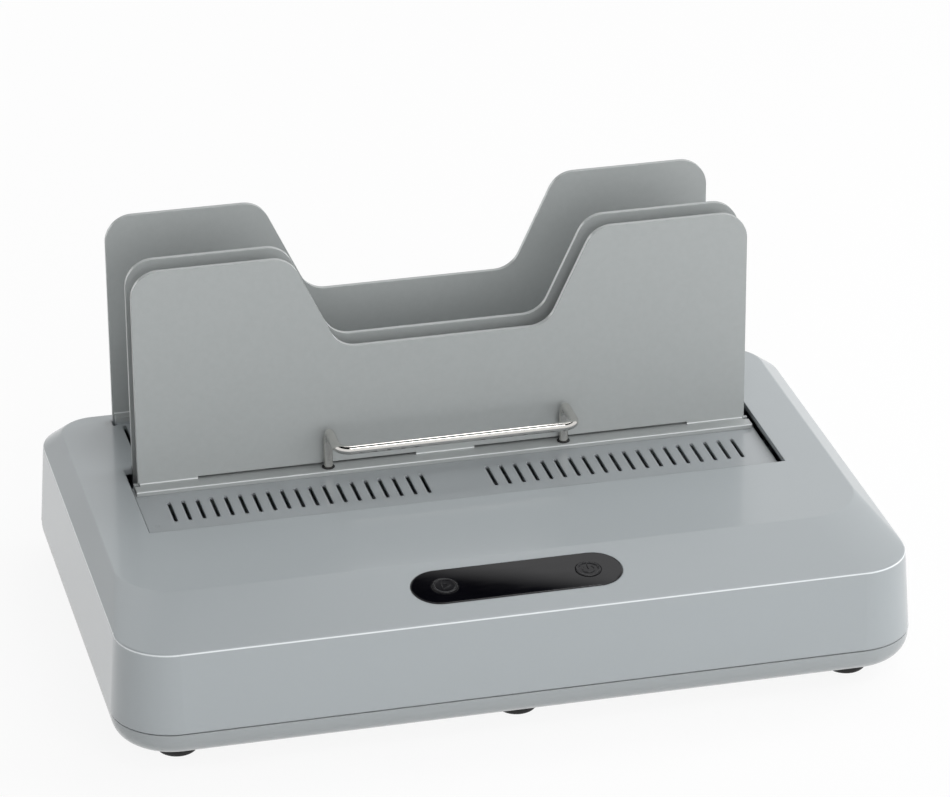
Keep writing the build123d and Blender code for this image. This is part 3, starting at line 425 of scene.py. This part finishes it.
def floor():
    """A pale table that keeps the shadow and shows as white."""
    mesh = bpy.data.meshes.new("floor")
    corners = [(x * table_half, y * table_half, 0) for x, y in ((-1, -1), (1, -1), (1, 1), (-1, 1))]
    mesh.from_pydata(corners, [], [(0, 1, 2, 3)])
    table = bpy.data.objects.new("floor", mesh)
    table.location.z = -table_drop
    bpy.context.scene.collection.objects.link(table)
    material = bpy.data.materials.new("pale_table")
    material.use_nodes = True
    tree = material.node_tree
    shader = tree.nodes["Principled BSDF"]
    shader.inputs["Base Color"].default_value = (table_shade, table_shade, table_shade, 1)
    shader.inputs["Roughness"].default_value = table_roughness
    shader.inputs["Specular IOR Level"].default_value = table_specular
    glow = tree.nodes.new("ShaderNodeEmission")
    share = tree.nodes.new("ShaderNodeMath")
    share.operation = "MULTIPLY"
    share.inputs[1].default_value = table_glow
    mix = tree.nodes.new("ShaderNodeMixShader")
    tree.links.new(backdrop_share(tree), share.inputs[0])
    tree.links.new(share.outputs[0], mix.inputs[0])
    tree.links.new(shader.outputs[0], mix.inputs[1])
    tree.links.new(glow.outputs[0], mix.inputs[2])
    tree.links.new(mix.outputs[0], tree.nodes["Material Output"].inputs["Surface"])
    mesh.materials.append(material)


def studio_world():
    """A white backdrop to see and mirror; as light, a dim room with bright screens around it."""
    world = bpy.data.worlds.new("studio")
    bpy.context.scene.world = world
    world.use_nodes = True
    tree = world.node_tree
    tree.nodes.clear()

    def node(kind, operation, *inputs):
        made = tree.nodes.new(kind)
        if operation:
            made.operation = operation
        for socket, value in zip(made.inputs, inputs):
            if isinstance(value, bpy.types.NodeSocket):
                tree.links.new(value, socket)
            else:
                socket.default_value = value
        return made

    def fade(value, start, end):
        """A step from 0 to 1 as the value passes from start to end."""
        return node("ShaderNodeMapRange", None, value, start, end, 0, 1).outputs[0]

    def heights(elevation, *steps):
        """Z of a unit direction at that elevation in degrees, plus each step."""
        return [math.sin(math.radians(elevation + step)) for step in steps]

    direction = tree.nodes.new("ShaderNodeTexCoord").outputs["Generated"]
    height = node("ShaderNodeSeparateXYZ", None, direction).outputs["Z"]
    flat = node("ShaderNodeVectorMath", "MULTIPLY", direction, (1, 1, 0)).outputs[0]
    level = node("ShaderNodeVectorMath", "NORMALIZE", flat).outputs[0]
    light = room_light
    for heading, half_width, lowest, highest, strength in screens:
        angle = math.radians(heading)
        facing = (math.sin(angle), math.cos(angle), 0)
        toward = node("ShaderNodeVectorMath", "DOT_PRODUCT", level, facing).outputs["Value"]
        widest, narrowest = (half_width + d for d in (screen_fade, -screen_fade))
        shares = [
            fade(toward, math.cos(math.radians(widest)), math.cos(math.radians(narrowest))),
            fade(height, *heights(lowest, -screen_fade, screen_fade)),
            fade(height, *heights(highest, screen_fade, -screen_fade)),
        ]
        glow = strength
        for share in shares:
            glow = node("ShaderNodeMath", "MULTIPLY", share, glow).outputs[0]
        light = node("ShaderNodeMath", "ADD", glow, light).outputs[0]

    dim = fade(height, *heights(backdrop_top, -backdrop_fade, backdrop_fade))
    shown = node("ShaderNodeMath", "SUBTRACT", 1.0, dim).outputs[0]
    seen = node("ShaderNodeBackground", None, white, shown)
    lit = node("ShaderNodeBackground", None, white, light)
    mix = node("ShaderNodeMixShader", None, backdrop_share(tree), lit.outputs[0], seen.outputs[0])
    node("ShaderNodeOutputWorld", None, mix.outputs[0])


def lamp(name, place, width, depth, watts, mirrored):
    """A rectangular soft light that faces the object."""
    light = bpy.data.lights.new(name, "AREA")
    light.shape = "RECTANGLE"
    light.size = width
    light.size_y = depth
    light.energy = watts
    made = bpy.data.objects.new(name, light)
    made.location = place
    facing = Vector(lamp_target) - Vector(place)
    made.rotation_euler = facing.to_track_quat("-Z", "Y").to_euler()
    made.visible_glossy = mirrored
    bpy.context.scene.collection.objects.link(made)


floor()
studio_world()
for row in lamps:
    lamp(*row)


# ------------------------------------------------------------------ camera
def set_camera():
    """The camera of the photograph, from its place, its three turns and its focal length."""
    forward = Vector(
        (
            math.sin(camera_yaw) * math.cos(camera_pitch),
            math.cos(camera_yaw) * math.cos(camera_pitch),
            -math.sin(camera_pitch),
        )
    )
    level = Vector((math.cos(camera_yaw), -math.sin(camera_yaw), 0))
    upright = level.cross(forward)
    right = level * math.cos(camera_roll) + upright * math.sin(camera_roll)
    up = upright * math.cos(camera_roll) - level * math.sin(camera_roll)
    data = bpy.data.cameras.new("camera")
    data.sensor_width = sensor_width
    data.lens = focal_pixels / image_width * sensor_width
    data.clip_end = view_reach
    camera = bpy.data.objects.new("camera", data)
    turn = Matrix((right, up, -forward)).transposed().to_4x4()
    camera.matrix_world = Matrix.Translation(camera_place) @ turn
    bpy.context.scene.collection.objects.link(camera)
    bpy.context.scene.camera = camera


set_camera()
bpy.context.scene.view_settings.view_transform = "Standard"
